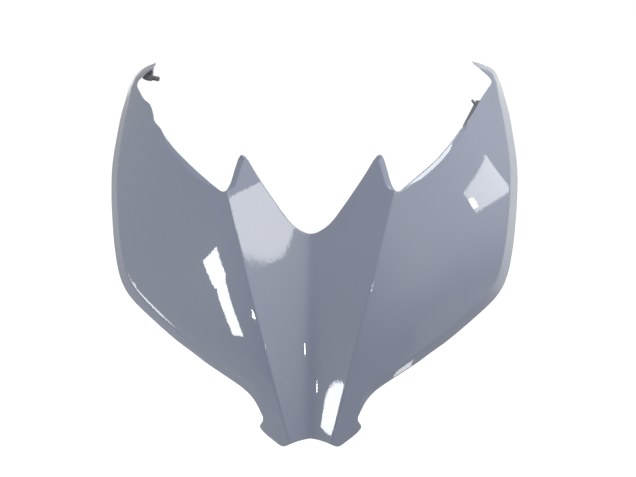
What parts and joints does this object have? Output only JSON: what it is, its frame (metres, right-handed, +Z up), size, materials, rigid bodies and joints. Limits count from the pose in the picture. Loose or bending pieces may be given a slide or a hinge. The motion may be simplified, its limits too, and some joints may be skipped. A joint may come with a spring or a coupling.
{
  "type": "motorcycle fairing panel",
  "caption": "Glossy moulded motorcycle nose fairing panel with a creased centre, swept-back wings, prongs beside a notch, and screw bosses behind that hold it to the machine.",
  "frame": {"origin": "midway between the end faces of the rear screw bosses, on the panel's centre plane", "axes": "+Z up, -Y the way the machine faces (the painted outside), +X to the rider's left; the panel keeps the lean it has when fitted"},
  "size_m": [0.4434, 0.3378, 0.2949],
  "materials": {
    "paint": "gloss blue-grey paint over moulded plastic"
  },
  "bodies": {
    "root": {"fairing_panel": "paint"}
  },
  "joints": []
}
